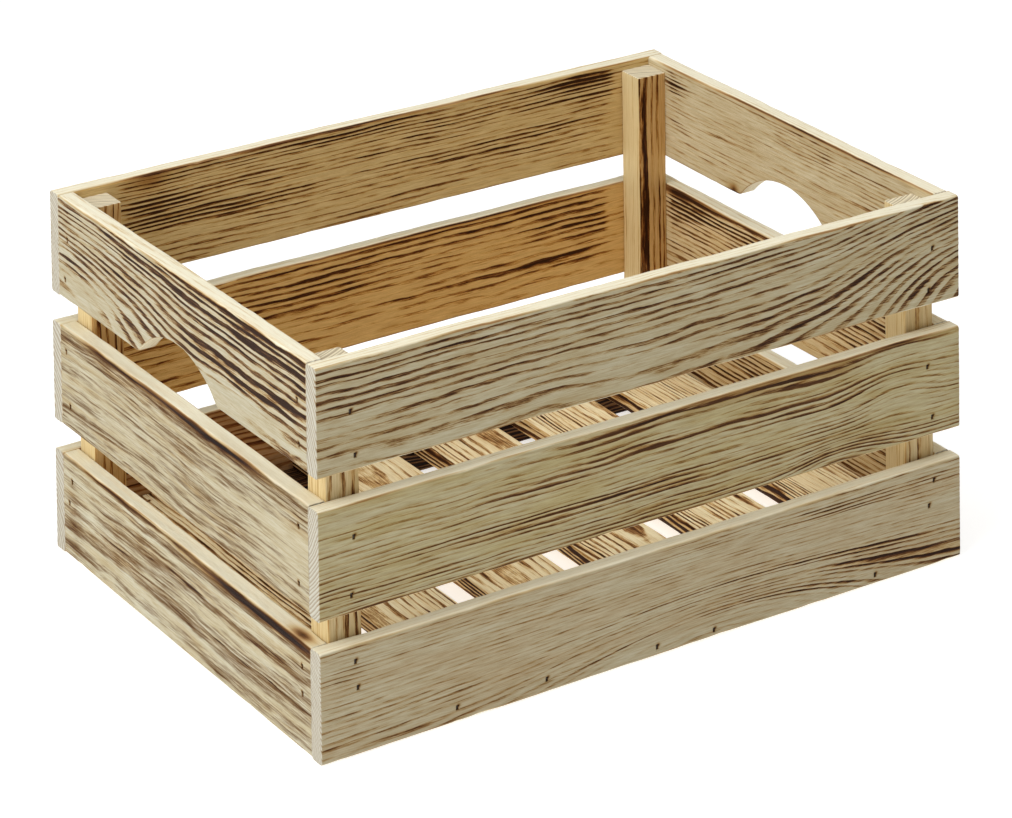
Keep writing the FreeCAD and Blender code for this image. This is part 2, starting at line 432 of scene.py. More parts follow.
def edge_wear(board, points, face_v, face_w):
    """How far the long edges' points move across the board: sway, nicks and roughness."""
    width = board.size[1]
    u, v, w = points.T
    shift = EDGE_SWAY * ripple(board.seed + 2, u / 110) * (v / width)
    shift = shift + EDGE_SWAY * ripple(board.seed + 3, u / 110) * (1.0 - v / width)
    arris = np.abs(face_v) * np.abs(face_w) * 2.0
    corners = (
        (face_v > 0) & (face_w > 0),
        (face_v > 0) & (face_w < 0),
        (face_v < 0) & (face_w > 0),
        (face_v < 0) & (face_w < 0),
    )
    for number, corner in enumerate(corners):
        shift = shift - edge_nicks(board, u, number) * arris * corner * np.sign(face_v)
    side = smooth(0.3, 1.0, face_v) - smooth(0.3, 1.0, -face_v)
    return shift + EDGE_ROUGHNESS * side * ripple(board.seed + 4, u / 9, w / 3)


def face_wear(board, points, face_w, rings):
    """How far the faces' points move outward: raised grain, and the brad pockets."""
    u, v, _ = points.T
    relief = RING_RELIEF * np.cos(2.0 * math.pi * rings)
    relief = relief + FIBRE_RELIEF * ripple(board.seed + 5, u / 40, v / 5)
    shift = relief * np.sign(face_w) * (np.abs(face_w) > FLAT)
    depth, lip = nail_pockets(board, u, v)
    return shift + (lip - depth) * (face_w > FLAT)


def end_wear(board, points):
    """How far the sawn ends' points move along the board."""
    u, v, w = points.T
    at_end = np.minimum(u, board.size[0] - u) < 1e-6
    rough = SAW_ROUGHNESS * ripple(board.seed + 6, v / 2.5, w / 2.5)
    rough = rough + SAW_TILT * ripple(board.seed + 7, v / 40, w / 20)
    return np.where(at_end, rough, 0.0)


def wear(board, points, face_v, face_w, rings):
    """Makes the planed box uneven: its sawn ends, its long edges and its faces."""
    shifts = (
        end_wear(board, points),
        edge_wear(board, points, face_v, face_w),
        face_wear(board, points, face_w, rings),
    )
    return points + np.stack(shifts, 1)


def face_burns(board, points, face_w, rings):
    """How burnt each point would be if it lay on the outer face, and if on the inner one."""
    scorch = board.scorch
    length, width, _ = board.size
    u, v, _ = points.T
    outer = scorch.outer + scorch.outer_rise * (v / width - 0.5)
    outer = outer + MOTTLING * ripple(board.seed + 8, u / 120, v / 30)
    outer = outer + blobs(u, v, scorch.outer_spots)
    outer = outer + veins(points, rings, face_w, scorch.outer_veins)
    inner = scorch.inner + scorch.inner_rise * (v / width - 0.5)
    inner = inner + MOTTLING * ripple(board.seed + 9, u / 120, v / 30)
    inner = inner + blobs(u, v, scorch.inner_spots)
    from_end = np.minimum(u, length - u)
    from_end = from_end + SHIELD_RAGGEDNESS * ripple(board.seed + 10, v / 25)
    return outer, inner * smooth(scorch.shield, scorch.shield + SHIELD_FADE, from_end)


def soot_and_pocket_shade(board, points, face_v, face_w):
    """Near-black marks: painted shade in the brad pockets, the stain beside them, and each board's
    own soot.
    """
    scorch = board.scorch
    u, v, w = points.T
    to_outside = smooth(0.0, 0.6, face_w)
    depth, _ = nail_pockets(board, u, v)
    # Painted shade: each brad pocket is darkened in step with its depth, to near-black at the
    # bottom.
    soot = np.clip(depth / POCKET_DEPTH, 0.0, 1.0) * (face_w > FLAT)
    for nail_u, nail_v, _, _ in board.nails:
        stain = (nail_u + 0.8, nail_v + 1.3, 1.3, 1.1, 0.75)
        soot = soot + blobs(u, v, (stain,)) * to_outside
    soot = soot + blobs(u, v, scorch.soot) * to_outside
    soot = soot + blobs(u, v, scorch.inner_soot) * smooth(0.0, 0.6, -face_w)
    soot = soot + blobs(u, w, scorch.edge_soot) * smooth(0.3, 0.9, face_v)
    return soot + blobs(u, w, scorch.under_soot) * smooth(0.3, 0.9, -face_v)


def paint(board, points, face_v, face_w, rings):
    """What the material needs to know of each point: its ring, and amounts up to about 1."""
    scorch = board.scorch
    u = points[:, 0]
    outer = smooth(0.5, 0.95, face_w)
    inner = smooth(0.5, 0.95, -face_w)
    side = np.clip(1.0 - outer - inner, 0.0, 1.0)
    outer_burn, inner_burn = face_burns(board, points, face_w, rings)
    arris = smooth(0.2, 0.6, np.abs(face_w)) * (1.0 - smooth(0.8, 1.0, np.abs(face_w)))
    patches = np.clip(0.5 + 0.7 * ripple(board.seed + 11, u / 70, face_w), 0.0, 1.2)
    fringe = scorch.fringe * arris * patches
    toast = inner * board.tone.toast_inside + fringe + side * (scorch.edge - 0.1)
    from_end = np.minimum(u, board.size[0] - u)
    return {
        "burn": outer * outer_burn + inner * inner_burn + side * scorch.edge,
        "toast": np.clip(toast, 0.0, 1.0),
        "bare": side * (1.0 - smooth(0.1, 0.6, scorch.edge)),
        # soot also carries the painted shade in the brad pockets
        "soot": soot_and_pocket_shade(board, points, face_v, face_w) + fringe,
        "cut": 1.0 - smooth(0.0, END_RADIUS, from_end),
        "ring": rings,
    }


def add_attribute(mesh, name, values):
    """Stores one value or one vector for each vertex."""
    vector = values.ndim == 2
    kind = "FLOAT_VECTOR" if vector else "FLOAT"
    attribute = mesh.attributes.new(name, kind, "POINT")
    packed = np.ascontiguousarray(values, np.float32).ravel()
    attribute.data.foreach_set("vector" if vector else "value", packed)


def build_board(board):
    """Makes the mesh object that stands for one board's CAD node."""
    points, quads = box_skin(*board_lines(board))
    points, face_v, face_w = round_long_edges(board, points)
    points = round_ends(board, points)
    if board.arch:
        points = cut_arch(board, points)
    rings = ring_numbers(board, points)
    worn = board.to_world(wear(board, points, face_v, face_w, rings))
    if board.mirrored():
        quads = quads[:, ::-1]
    mesh = bpy.data.meshes.new(board.node + "_wood")
    mesh.from_pydata(worn.tolist(), [], quads.tolist())
    mesh.polygons.foreach_set("use_smooth", np.ones(len(quads), bool))
    # No two boards of one kind share noise
    own_wood = np.array([1000.0 * (board.seed % 50), 0.0, 0.0])
    add_attribute(mesh, "grain", (points + own_wood) * 0.1)  # centimetres
    for name, values in paint(board, points, face_v, face_w, rings).items():
        add_attribute(mesh, name, values)
    mesh.materials.append(scorched_pine(board.node + "_pine", board.tone))
    piece = bpy.data.objects.new(board.node + "_wood", mesh)
    bpy.context.scene.collection.objects.link(piece)
    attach(piece, "root")
    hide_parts(board.node)


# -------------------------------------------------------------------------- materials
class Graph:
    """A material's node tree, with one short method for each kind of node used here."""

    def __init__(self, name):
        self.material = bpy.data.materials.new(name)
        self.material.use_nodes = True
        self.tree = self.material.node_tree
        self.tree.nodes.clear()

    def add(self, kind, settings=None, **inputs):
        node = self.tree.nodes.new(kind)
        for key, value in (settings or {}).items():
            setattr(node, key, value)
        for key, value in inputs.items():
            self.feed(node.inputs[key.replace("_", " ")], value)
        return node

    def feed(self, socket, value):
        if isinstance(value, bpy.types.NodeSocket):
            self.tree.links.new(value, socket)
        elif socket.type == "RGBA":
            socket.default_value = (*value, 1.0)
        else:
            socket.default_value = value

    def math(self, operation, a, b=0.0, c=0.0, clamp=False):
        node = self.add("ShaderNodeMath", {"operation": operation, "use_clamp": clamp})
        for socket, value in zip(node.inputs, (a, b, c)):
            self.feed(socket, value)
        return node.outputs[0]

    def times(self, a, b, clamp=False):
        return self.math("MULTIPLY", a, b, clamp=clamp)

    def rest_of(self, value):
        """1 minus the value."""
        return self.math("SUBTRACT", 1.0, value)

    def step(self, value, low, high, to_low=0.0, to_high=1.0):
        node = self.add("ShaderNodeMapRange", {"interpolation_type": "SMOOTHSTEP"}, Value=value)
        ends = {"From Min": low, "From Max": high, "To Min": to_low, "To Max": to_high}
        for name, end in ends.items():
            self.feed(node.inputs[name], end)
        return node.outputs["Result"]

    def number(self, name):
        return self.add("ShaderNodeAttribute", {"attribute_name": name}).outputs["Fac"]

    def vector(self, name):
        vector = self.add("ShaderNodeAttribute", {"attribute_name": name}).outputs["Vector"]
        return self.add("ShaderNodeSeparateXYZ", Vector=vector).outputs

    def position(self):
        place = self.add("ShaderNodeNewGeometry").outputs["Position"]
        return self.add("ShaderNodeSeparateXYZ", Vector=place).outputs

    def noise(self, x, y, z=0.0, detail=2.0, rough=0.5):
        place = self.add("ShaderNodeCombineXYZ", X=x, Y=y, Z=z).outputs[0]
        node = self.add("ShaderNodeTexNoise", Vector=place, Scale=1.0, Detail=detail)
        self.feed(node.inputs["Roughness"], rough)
        return node.outputs["Fac"]

    def scaled_noise(self, place, scales, detail=2.0, rough=0.5):
        parts = [self.times(part, scale) for part, scale in zip(place, scales)]
        return self.noise(*parts, detail=detail, rough=rough)

    def ramp(self, value, stops):
        node = self.add("ShaderNodeValToRGB", Fac=value)
        band = node.color_ramp
        while len(band.elements) < len(stops):
            band.elements.new(0.5)
        for element, (place, colour) in zip(band.elements, stops):
            element.position = place
            element.color = (*colour, 1.0)
        return node.outputs["Color"]

    def mix(self, share, a, b, blend="MIX"):
        node = self.add("ShaderNodeMix", {"data_type": "RGBA", "blend_type": blend})
        share_input, a_input, b_input = (node.inputs[i] for i in (0, 6, 7))  # its colour inputs
        self.feed(share_input, share)
        self.feed(a_input, a)
        self.feed(b_input, b)
        return node.outputs[2]

    def finish(self, colour, roughness, height, depth, metallic=0.0, specular=0.08, glow=0.0):
        bump = self.add("ShaderNodeBump", Height=height, Distance=depth, Strength=1.0)
        shader = self.add("ShaderNodeBsdfPrincipled", Base_Color=colour, Roughness=roughness)
        self.feed(shader.inputs["Metallic"], metallic)
        self.feed(shader.inputs["Normal"], bump.outputs[0])
        self.feed(shader.inputs["Specular IOR Level"], specular)
        self.feed(shader.inputs["Emission Color"], (1.0, 1.0, 1.0))
        self.feed(shader.inputs["Emission Strength"], glow)
        output = self.add("ShaderNodeOutputMaterial")
        self.tree.links.new(shader.outputs[0], output.inputs["Surface"])
        return self.material


SCORCH_TINTS = (
    (0.00, (1.0, 1.0, 1.0)),
    (0.20, (0.84, 0.73, 0.56)),
    (0.46, (0.56, 0.38, 0.23)),
    (0.74, (0.25, 0.125, 0.065)),
    (1.00, (0.058, 0.028, 0.020)),
)
SMOKE_TINT = (0.34, 0.235, 0.160)
LATE_WOOD_TINT = (0.80, 0.62, 0.38)
FIBRE_TINT = (0.74, 0.66, 0.52)
DASH_TINT = (0.76, 0.68, 0.54)
END_LINE_COLOUR = (0.30, 0.22, 0.14)
WOOD_BUMP = 0.00035
# The darkest that soot and the painted shade in the brad pockets get
MOST_SOOT_AND_POCKET_SHADE = 0.97


class Wood:
    """The fields that every part of the pine material draws on."""

    def __init__(self, g):
        self.grain = g.vector("grain")
        self.along = self.grain["X"]
        self.ring = g.number("ring")
        self.burn = g.number("burn")
        self.toast = g.number("toast")
        self.bare = g.number("bare")
        # soot and the painted shade in the brad pockets
        self.soot = g.number("soot")
        self.cut = g.number("cut")
        self.find_rings(g)
        self.fibre = g.scaled_noise(self.grain, (0.55, 12.0, 12.0), detail=4.0, rough=0.7)

    def across(self, g, along_scale, ring_scale, ring=None, detail=2.0, rough=0.5):
        """Noise that stretches along the board and changes from ring to ring."""
        along = g.times(self.along, along_scale)
        rings = g.times(self.bent if ring is None else ring, ring_scale)
        return g.noise(along, rings, detail=detail, rough=rough)

    def find_rings(self, g):
        """One soft climb and one sharp drop in every ring, no two rings of the same width."""
        spacing = g.noise(g.times(self.ring, 0.45), 3.7, detail=1.0)
        wobble = self.across(g, 0.10, 0.12, ring=self.ring)
        ragged = self.across(g, 0.55, 1.1, ring=self.ring, detail=3.0)
        self.bent = self.ring
        for noise, amount in ((spacing, 1.3), (wobble, 1.2), (ragged, 0.28)):
            self.bent = g.math("MULTIPLY_ADD", noise, amount, self.bent)
        self.phase = g.math("FRACT", self.bent)
        climb = g.step(self.phase, 0.08, 0.78)
        drop = g.step(self.phase, 0.82, 0.99, 1.0, 0.0)
        self.late = g.times(climb, drop)
        which = g.math("FLOOR", self.bent)
        self.single = self.across(g, 0.10, 5.31, ring=which, detail=3.0)
        self.dash = self.across(g, 0.32, 2.3, detail=4.0, rough=0.62)


def flame(g, wood, tone):
    """Heat of the flame, and the dark streaks that it leaves.

    It bites unevenly: in bands, in each ring for itself along its length, and in short dashes.
    """
    bands = wood.across(g, 0.07, 0.30)
    heat = wood.burn
    unevenness = (
        (bands, tone.patchy),
        (wood.single, tone.single),
        (wood.dash, tone.dashes),
        (wood.fibre, tone.fuzz),
    )
    for noise, amount in unevenness:
        heat = g.math("ADD", heat, g.step(noise, 0.3, 0.7, -0.5 * amount, 0.5 * amount))
    level = g.math("MULTIPLY_ADD", heat, 0.7, g.math("SUBTRACT", wood.late, 0.7))
    strength = g.step(heat, -0.2, 1.0, 0.15, 1.0)
    return heat, g.times(g.step(level, 0.0, tone.soft), strength)


def smoke_and_char(g, wood):
    """On brushed boards the flame smokes whole bands, and only the thin hard lines stay pale."""
    line = g.step(wood.phase, 0.0, 0.24, 0.10, 1.0)
    drawn = wood.across(g, 0.05, 1.9, detail=4.0, rough=0.6)
    crumbs = g.scaled_noise(wood.grain, (0.35, 7.0, 7.0), detail=4.0, rough=0.65)
    smoky = g.math("ADD", wood.burn, g.step(drawn, 0.3, 0.7, -0.45, 0.45))
    smoky = g.math("ADD", smoky, g.step(crumbs, 0.32, 0.68, -0.35, 0.35))
    smoke = g.times(g.step(smoky, 0.05, 0.90), line)
    char = g.times(g.step(smoky, 0.78, 1.35, 0.0, 0.9), line)
    return smoke, char


def darkness(g, wood, tone, streaks, char):
    """How dark each point is in the end: streaks or char, then soot and the painted shade in the
    brad pockets, less on cuts.
    """
    dark = g.math("MULTIPLY_ADD", g.math("SUBTRACT", char, streaks), tone.haze, streaks)
    dark = g.times(dark, g.rest_of(g.times(wood.bare, 0.7)))
    # Soot, and the painted shade in the brad pockets, darken up to this much.
    dark = g.math("MAXIMUM", dark, g.times(wood.soot, MOST_SOOT_AND_POCKET_SHADE))
    return g.times(dark, g.rest_of(g.times(wood.cut, 0.8)), clamp=True)


def unburnt_wood(g, wood, tone, heat):
    """The colour under the scorch: faces, planed edges and sawn ends."""
    drift = g.scaled_noise(wood.grain, (0.12, 0.8, 0.8), detail=3.0)
    colour = g.mix(g.step(drift, 0.35, 0.68), tone.pale, tone.deep)
    toasted = g.times(wood.toast, 0.8)
    golden = g.math("MAXIMUM", toasted, g.step(heat, 0.45, 1.2, 0.0, 0.3))
    colour = g.mix(golden, colour, tone.gold)
    colour = g.mix(wood.bare, colour, tone.bare)
    faint = g.times(wood.late, g.step(wood.single, 0.3, 0.8, 0.05, 0.32))
    colour = g.mix(faint, colour, LATE_WOOD_TINT, blend="MULTIPLY")
    planed = g.step(wood.bare, 0.0, 1.0, 1.0, 0.45)
    shade = g.times(g.step(wood.fibre, 0.36, 0.64, 0.0, 0.6), planed)
    colour = g.mix(shade, colour, FIBRE_TINT, blend="MULTIPLY")
    shade = g.times(g.step(wood.dash, 0.42, 0.68, 0.0, 0.40), planed)
    colour = g.mix(shade, colour, DASH_TINT, blend="MULTIPLY")
    end = g.mix(g.times(wood.late, 0.7), tone.end, END_LINE_COLOUR)
    return g.mix(wood.cut, colour, end)


def scorched_pine(name, tone):
    """Pine, bare on the cut edges and flamed on the faces."""
    g = Graph(name)
    wood = Wood(g)
    heat, streaks = flame(g, wood, tone)
    smoke, char = smoke_and_char(g, wood)
    dark = darkness(g, wood, tone, streaks, char)
    colour = unburnt_wood(g, wood, tone, heat)
    colour = g.mix(1.0, colour, g.ramp(dark, SCORCH_TINTS), blend="MULTIPLY")
    on_faces = g.rest_of(g.math("MAXIMUM", wood.cut, wood.bare))
    smoke = g.times(g.times(smoke, on_faces), tone.haze)
    colour = g.mix(smoke, colour, SMOKE_TINT, blend="MULTIPLY")
    roughness = g.step(dark, 0.0, 1.0, 0.68, 0.58)
    pores = g.scaled_noise(wood.grain, (1.6, 60.0, 60.0), detail=2.0, rough=0.6)
    height = g.math("MULTIPLY_ADD", wood.fibre, 0.7, g.times(pores, 0.35))
    height = g.math("MULTIPLY_ADD", dark, -0.5, height)
    return g.finish(colour, roughness, height, WOOD_BUMP)


def brad_steel():
    """Dull wire steel with a little brown bloom."""
    g = Graph("brad_steel")
    bloom = g.scaled_noise(g.position(), (900.0, 900.0, 900.0), detail=3.0)
    clean = (0.075, 0.060, 0.050)
    rusty = (0.045, 0.026, 0.016)
    colour = g.mix(g.step(bloom, 0.4, 0.65), clean, rusty)
    roughness = g.step(bloom, 0.3, 0.7, 0.38, 0.7)
    return g.finish(colour, roughness, bloom, 0.0001, metallic=0.85, specular=0.5)


def floor_paper():
    """Matt pale paper, with the faintest cloudiness and a glow that makes it near white."""
    g = Graph("floor_paper")
    cloud = g.scaled_noise(g.position(), (1.5, 1.5, 1.5), detail=2.0)
    colour = g.mix(cloud, (0.60, 0.60, 0.60), (0.58, 0.58, 0.58))
    return g.finish(colour, 0.9, cloud, 0.0002, specular=0.1, glow=0.63)


# -------------------------------------------------------------------------- brad pockets
def solids_in(mesh):
    """The vertices of each separate solid in a mesh, as lists of coordinates."""
    parent = list(range(len(mesh.vertices)))

    def root(i):
        while parent[i] != i:
            parent[i] = parent[parent[i]]
            i = parent[i]
        return i

    vertex_at = {}
    for vertex in mesh.vertices:
        place = tuple(round(c, 6) for c in vertex.co)
        twin = vertex_at.setdefault(place, vertex.index)
        parent[root(vertex.index)] = root(twin)
    for edge in mesh.edges:
        a, b = edge.vertices
        parent[root(a)] = root(b)
    solids = {}
    for vertex in mesh.vertices:
        solids.setdefault(root(vertex.index), []).append(vertex.co)
    return solids.values()


def nails_in(board, node):
    """The pockets that a node's brads make in a board: (u, v, half width, half height)."""
    found = []
    for solid in solids_in(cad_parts[node].data):
        corners = np.array(solid)
        low_u, low_v = board.to_board(corners.min(0))
        high_u, high_v = board.to_board(corners.max(0))
        inside = low_u > 0 and low_v > 0 and high_u < board.size[0] and high_v < board.size[1]
        if inside:
            middle = ((low_u + high_u) / 2, (low_v + high_v) / 2)
            half_u = (high_u - low_u) / 2 + POCKET_CLEARANCE
            half_v = (high_v - low_v) / 2 + POCKET_CLEARANCE
            found.append((*middle, half_u, half_v))
    return tuple(found)


# -------------------------------------------------------------------------- the crate's boards
# How each slat looks. u starts at the left end, or at the front end on the left and right walls,
# and v at the lower edge. A spot is (u, v, reach along, reach across, amount), and a vein is (u,
# v, reach along, reach in rings, amount).
LOOKS = {
    # Long flat streaks that bow upward at the right end.
    "front_slat_top": (
        Grain(pith=(-30, -112), ring=2.6, wave=0.15, swells=((540, 20, 115, 75, -9.5),)),
        Scorch(
            outer=0.42, outer_rise=0.14,
            outer_spots=((470, 35, 70, 40, 0.18), (60, 6, 150, 16, -0.3), (250, 12, 90, 7, -0.1)),
        ),
        Tone(pale=(0.51, 0.46, 0.32), deep=(0.47, 0.4, 0.25), patchy=0.3, single=0.4),
    ),
    # Darkest along the upper edge, right of the middle.
    "front_slat_middle": (
        Grain(
            pith=(100, -70), ring=2.1, wave=0.2,
            swells=((402, 2, 40, 16, 3.0), (445, 40, 35, 20, 2.5)),
        ),
        Scorch(
            outer=0.36, outer_rise=-0.1,
            outer_spots=(
                (290, 67, 80, 6, 0.8), (370, 63, 50, 6, 0.6), (400, 68, 60, 3, 0.4),
                (200, 24, 130, 8, 0.2), (400, 8, 50, 8, 0.3), (250, 5, 200, 6, 0.2),
                (60, 50, 90, 25, -0.2), (340, 32, 60, 8, -0.2),
            ),
            outer_veins=(
                (350, 49, 90, 0.6, 0.8), (300, 44, 130, 0.5, 0.5), (400, 40, 50, 0.5, 0.7),
                (220, 51, 60, 0.5, 0.5), (220, 25, 90, 0.5, 0.6), (130, 24, 80, 0.4, 0.5),
                (260, 12, 140, 0.5, 0.4), (200, 18, 160, 0.4, 0.4),
            ),
            soot=((450, 70, 35, 1.5, 0.9), (330, 67, 70, 2.5, 0.4), (395, 64, 18, 4, 0.3)),
        ),
        Tone(
            pale=(0.51, 0.46, 0.295), deep=(0.47, 0.4, 0.21), soft=0.9, patchy=0.5, single=0.5,
            haze=0.15,
        ),
    ),
    # The palest slat. Its streaks gather towards the right end.
    "front_slat_bottom": (
        Grain(pith=(-25, -65), ring=1.9, wave=0.15, swells=((300, 0, 125, 36, -8.0),)),
        Scorch(
            outer=0.11,
            outer_spots=(
                (60, 6, 80, 5, 0.3), (300, 18, 200, 10, 0.1), (460, 12, 50, 10, 0.3),
                (430, 60, 90, 6, 0.35), (250, 64, 120, 4, 0.15),
            ),
            outer_veins=(
                (310, 34, 130, 0.9, 0.7), (420, 26, 110, 0.6, 0.7), (380, 22, 110, 0.7, 0.6),
                (340, 16, 80, 0.6, 0.5), (390, 10, 60, 0.7, 0.6), (450, 14, 60, 0.7, 0.6),
                (230, 14, 60, 0.5, 0.4), (470, 5, 40, 0.8, 0.6),
            ),
            fringe=0.25,
        ),
        Tone(
            pale=(0.505, 0.45, 0.315), deep=(0.475, 0.395, 0.255), soft=1.0, patchy=0.25,
            single=0.4, dashes=0.3,
        ),
    ),
    # Bold stripes, nearly black at the front upper corner and bare beside the hand-hold.
    "left_slat_top": (
        Grain(pith=(-10, -60), ring=3.3, wave=0.2, swells=((345, 8, 130, 60, -5.0),)),
        Scorch(
            outer=0.48, outer_rise=0.4,
            outer_spots=(
                (60, 62, 110, 10, 0.6), (22, 11, 18, 9, 0.6), (250, 56, 90, 12, 0.1),
                (312, 27, 20, 5, 0.5), (258, 9, 22, 5, 0.75), (95, 14, 60, 7, -0.6),
                (290, 16, 75, 20, -0.38),
            ),
            outer_veins=((90, 29, 85, 1.0, 0.8), (50, 38, 80, 0.5, 0.4)),
        ),
        Tone(
            pale=(0.54, 0.505, 0.385), deep=(0.51, 0.455, 0.32), soft=0.55, patchy=0.3,
            single=0.35,
        ),
    ),
    # Brushed and smoky, with a black line under the upper edge.
    "left_slat_middle": (
        Grain(pith=(-60, -110), ring=5.0, wave=0.15, swells=((-20, 42, 90, 10, 1.0),)),
        Scorch(
            outer=0.42, outer_rise=0.15,
            outer_spots=(
                (0, 42, 60, 7, -0.9), (60, 41, 50, 3, -0.7), (290, 64, 70, 5, 0.3),
                (120, 65, 100, 3, 0.3), (200, 56, 200, 1.6, -0.5), (200, 29, 160, 1.6, -0.4),
                (20, 20, 50, 12, -0.2),
            ),
            soot=((125, 67.2, 65, 1.7, 1.6), (245, 68.0, 65, 0.9, 1.2), (10, 0, 12, 3, 0.9)),
        ),
        Tone(pale=(0.565, 0.52, 0.385), deep=(0.535, 0.47, 0.32), haze=0.95),
    ),
    # Like the middle one, with the black line nearer the front.
    "left_slat_bottom": (
        Grain(pith=(-40, -90), ring=6.0, wave=0.15),
        Scorch(
            outer=0.42, outer_rise=0.15,
            outer_spots=(
                (60, 66, 110, 5, 0.6), (160, 47, 140, 5, 0.35), (180, 27, 120, 8, 0.3),
                (170, 57, 170, 1.6, -0.6), (170, 16, 170, 2, -0.45), (60, 38, 60, 3, -0.4),
                (320, 25, 10, 25, 0.3), (258, 25, 8, 25, 0.2),
            ),
            soot=((60, 66.4, 75, 2.4, 1.7), (250, 68.5, 60, 0.8, 0.9)),
            edge_soot=((18, 8, 11, 4, 1.0),),
        ),
        Tone(pale=(0.6, 0.56, 0.425), deep=(0.57, 0.51, 0.355), haze=0.95),
    ),
    # Inside, streaks that stop short of the posts under a black upper edge.
    "back_slat_top": (
        Grain(pith=(-45, 90), ring=2.3, wave=0.15),
        Scorch(
            outer=0.46, inner=0.36, inner_rise=0.3,
            inner_spots=(
                (130, 34, 130, 4, 0.4), (250, 64, 170, 7, 0.2), (425, 62, 40, 9, 0.9),
                (75, 50, 25, 22, 0.5), (400, 30, 60, 10, 0.15),
            ),
            inner_soot=((220, 70, 150, 1.6, 0.9), (70, 66, 16, 8, 0.5)),
            shield=40.0,
        ),
        Tone(gold=(0.82, 0.58, 0.23), soft=0.8, toast_inside=0.9, patchy=0.5, single=0.5),
    ),
    # Inside, golden, with broad streaks beside the right post.
    "back_slat_middle": (
        Grain(pith=(-20, 60), ring=3.7, wave=0.15),
        Scorch(
            outer=0.3,
            outer_spots=((150, 50, 120, 12, 0.35), (400, 15, 90, 8, 0.4)),
            inner=0.34, inner_rise=0.35,
            inner_spots=(
                (425, 52, 55, 15, 0.75), (410, 23, 50, 4, 0.6), (200, 62, 180, 8, 0.2),
                (80, 30, 90, 30, 0.2),
            ),
            inner_soot=((330, 70, 150, 1.6, 0.8),), shield=43.0,
        ),
        Tone(gold=(0.88, 0.54, 0.165), soft=0.8, toast_inside=0.97, patchy=0.5, single=0.5),
    ),
    # Inside, an even brown.
    "back_slat_bottom": (
        Grain(pith=(-20, 60), ring=3.2, wave=0.15),
        Scorch(
            outer=0.34,
            outer_spots=((120, 20, 90, 10, 0.4), (380, 58, 120, 7, 0.4)),
            inner=0.8, inner_rise=0.25, shield=30.0,
        ),
        Tone(gold=(0.46, 0.21, 0.065), soft=1.3, toast_inside=0.97, dashes=0.3, fuzz=0.35),
    ),
    # Inside, pale and sparse, with a burnt lip on the hand-hold.
    "right_slat_top": (
        Grain(pith=(-45, 110), ring=2.0, wave=0.12),
        Scorch(
            outer=0.42, outer_rise=0.2, inner=0.04,
            inner_spots=((303, 57, 15, 12, 0.8), (300, 34, 14, 10, 0.4), (100, 55, 90, 14, 0.15)),
            inner_soot=((120, 70, 130, 1.2, 0.9), (229, 2, 5, 4, 0.9)),
            under_soot=((230, 1, 7, 4, 1.0),), shield=20.0,
        ),
        Tone(
            pale=(0.64, 0.59, 0.43), gold=(0.76, 0.6, 0.34), soft=1.0, patchy=0.3, single=0.6,
            toast_inside=0.45,
        ),
    ),
    # Inside, dense fine streaks and a dark line under the upper edge.
    "right_slat_middle": (
        Grain(pith=(-30, 80), ring=2.5, wave=0.15),
        Scorch(
            outer=0.3,
            outer_spots=((250, 55, 90, 9, 0.5), (80, 20, 90, 9, 0.35)),
            inner=0.42, inner_rise=0.45, inner_spots=((290, 60, 30, 12, 0.6),), shield=20.0,
            inner_soot=((298, 66.5, 22, 2.6, 1.2), (190, 68.2, 90, 0.9, 1.1)),
        ),
        Tone(
            pale=(0.64, 0.59, 0.43), gold=(0.84, 0.6, 0.28), toast_inside=0.6, patchy=0.4,
            single=0.5,
        ),
    ),
    # Inside, lightly browned.
    "right_slat_bottom": (
        Grain(pith=(-45, 90), ring=2.6, wave=0.15),
        Scorch(outer=0.36, outer_spots=((170, 64, 150, 6, 0.5),), inner=0.55, shield=20.0),
        Tone(gold=(0.7, 0.48, 0.21), patchy=0.5, single=0.5),
    ),
}

WALLS = {"front": ("X", "-Y"), "back": ("X", "+Y"), "left": ("Y", "-X"), "right": ("Y", "+X")}
TIERS = ("top", "middle", "bottom")
SIDES = (("front", "-Y"), ("back", "+Y"))
NO_SHIELD = -20.0  # a shield that ends before the board begins


def wall_slats():
    """The twelve slats of the four walls."""
    boards = []
    for wall, (grain_axis, outward) in WALLS.items():
        for tier in TIERS:
            name = f"{wall}_slat_{tier}"
            board = Board(name, grain_axis, outward, SLAT_RADIUS, "scorched_slats", *LOOKS[name])
            board.arch = tier == "top" and wall in ("left", "right")
            board.seed = 100 + 31 * len(boards)
            board.nails = nails_in(board, f"{wall}_slat_nails")
            if tier == "bottom" and wall in ("front", "back"):
                board.nails += nails_in(board, f"{wall}_batten_nails")
            boards.append(board)
    return boards


FLAMED_POST = Scorch(
    outer=0.1, inner=0.55, edge=0.15, shield=NO_SHIELD,
    inner_spots=(
        (110, 2, 300, 3, 0.9),
        (110, 8, 300, 4, 0.15),
        (110, 21, 300, 6, -0.35),
        (152, 12, 14, 30, -0.35),
        (125, 12, 12, 30, 0.2),
    ),
)
PLAIN_POST = Scorch(outer=0.1, inner=0.20, edge=0.15, shield=NO_SHIELD)
POST_TONE = Tone(
    pale=(0.68, 0.56, 0.34), deep=(0.62, 0.46, 0.23), gold=(0.72, 0.42, 0.14),
    bare=(0.80, 0.64, 0.35), end=(0.82, 0.73, 0.52),
    toast_inside=0.9, patchy=0.6, single=0.7, dashes=0.6,
)
BATTEN_TONE = Tone(pale=(0.16, 0.09, 0.045), deep=(0.10, 0.05, 0.025), gold=(0.15, 0.08, 0.035))
FLOOR_TONE = Tone(
    pale=(0.96, 0.87, 0.61), deep=(0.90, 0.76, 0.48), gold=(0.74, 0.50, 0.20),
    patchy=0.6, single=0.6,
)


